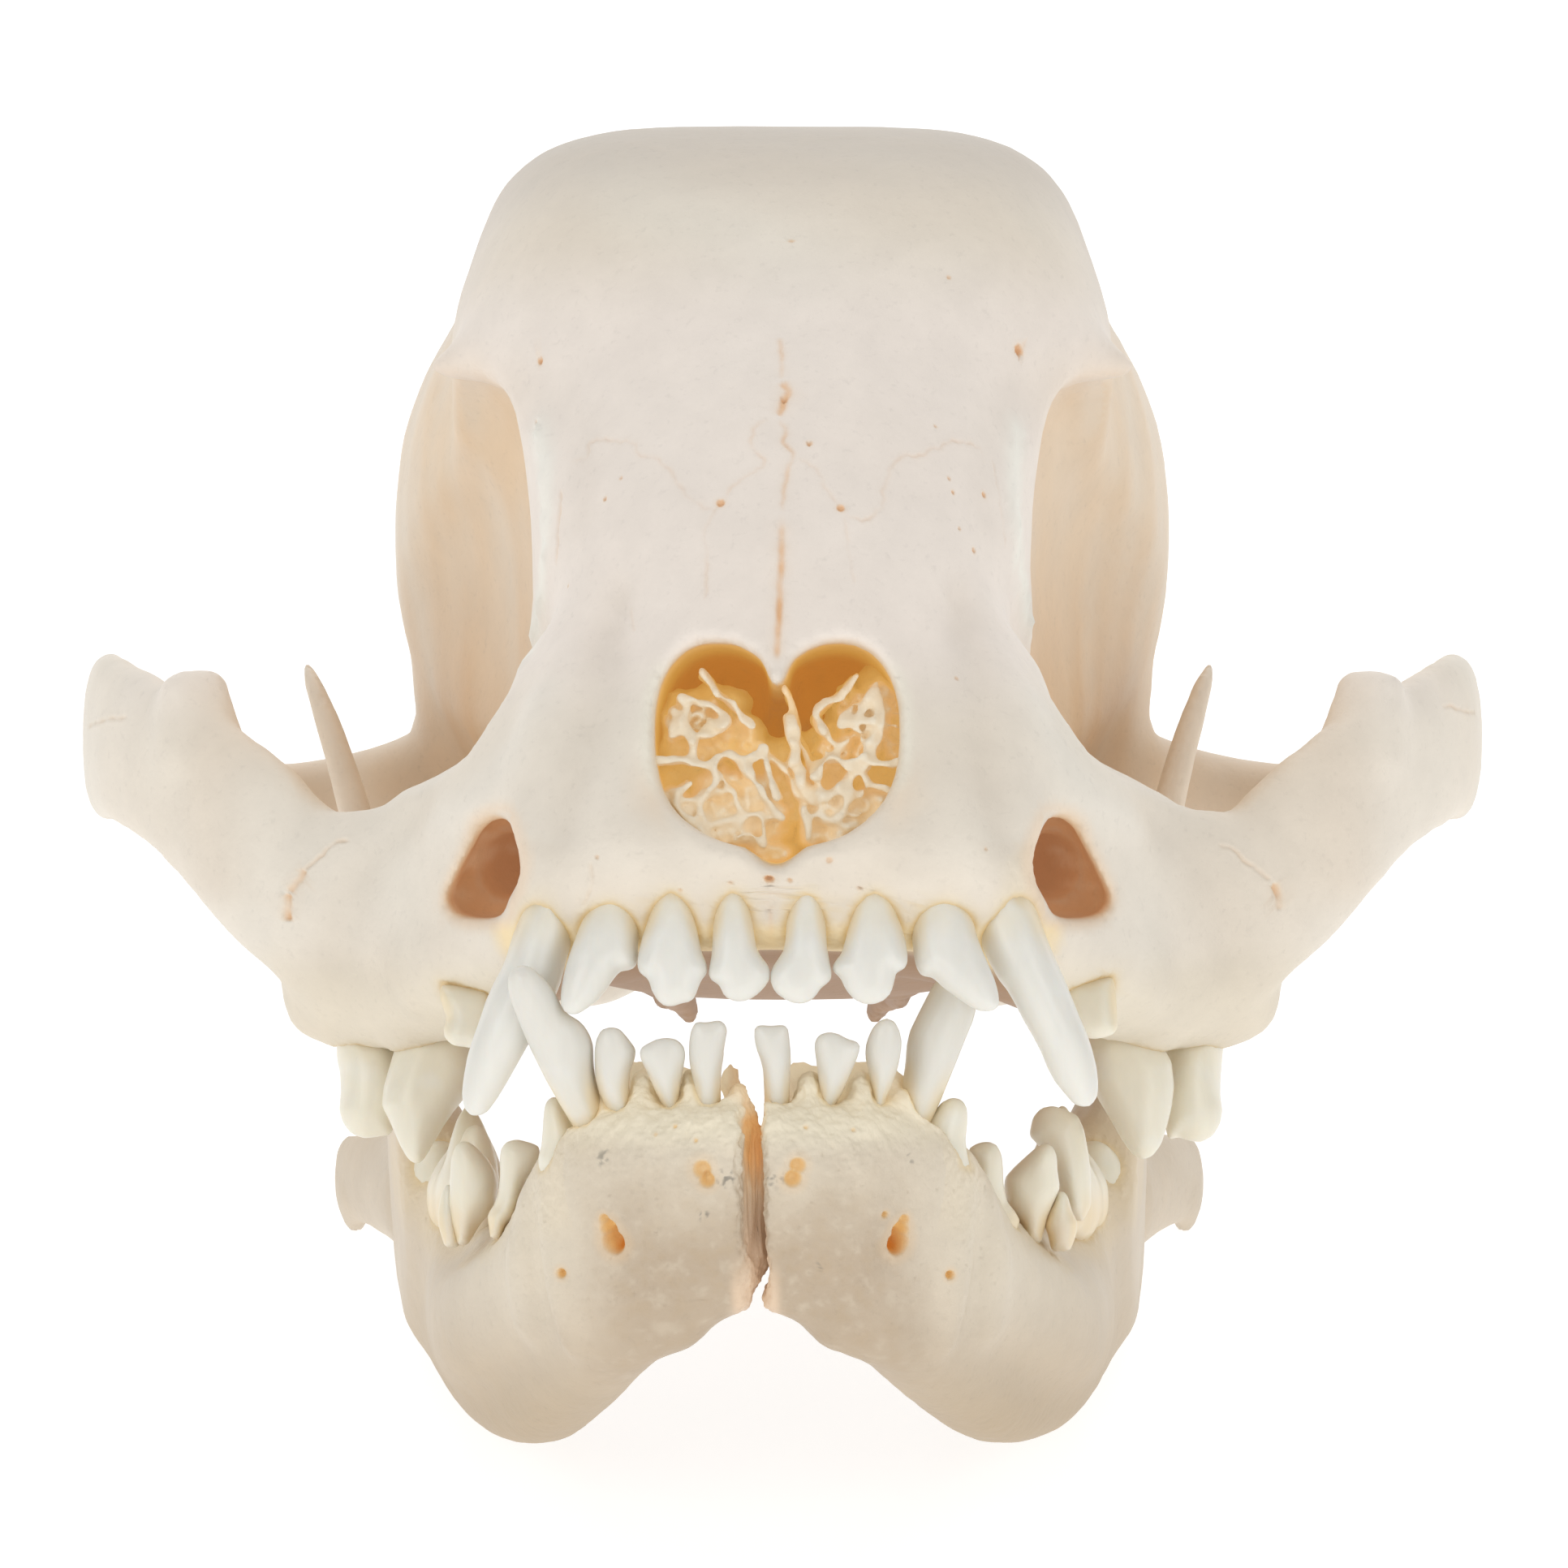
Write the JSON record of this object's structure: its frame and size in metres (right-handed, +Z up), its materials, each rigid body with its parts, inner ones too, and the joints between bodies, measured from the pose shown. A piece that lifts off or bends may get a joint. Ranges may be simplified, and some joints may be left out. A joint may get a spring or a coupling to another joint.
{
  "type": "short-faced dog skull",
  "caption": "Life-size skull of a short-faced dog: domed cranium with wide cheek arches and upper teeth, standing on the two halves of its lower jaw.",
  "frame": {"origin": "middle of the bounding box, on the floor that the lower jaw stands on", "axes": "+Z up, -Y the way the nose points, +X to the right of someone who looks at the face"},
  "size_m": [0.1085, 0.1292, 0.0942],
  "materials": {
    "bone": "matte",
    "jaw_bone": "matte",
    "tooth": "satin"
  },
  "bodies": {
    "root": {"cranium": "bone", "mandible_left": "jaw_bone", "mandible_right": "jaw_bone"}
  },
  "joints": []
}
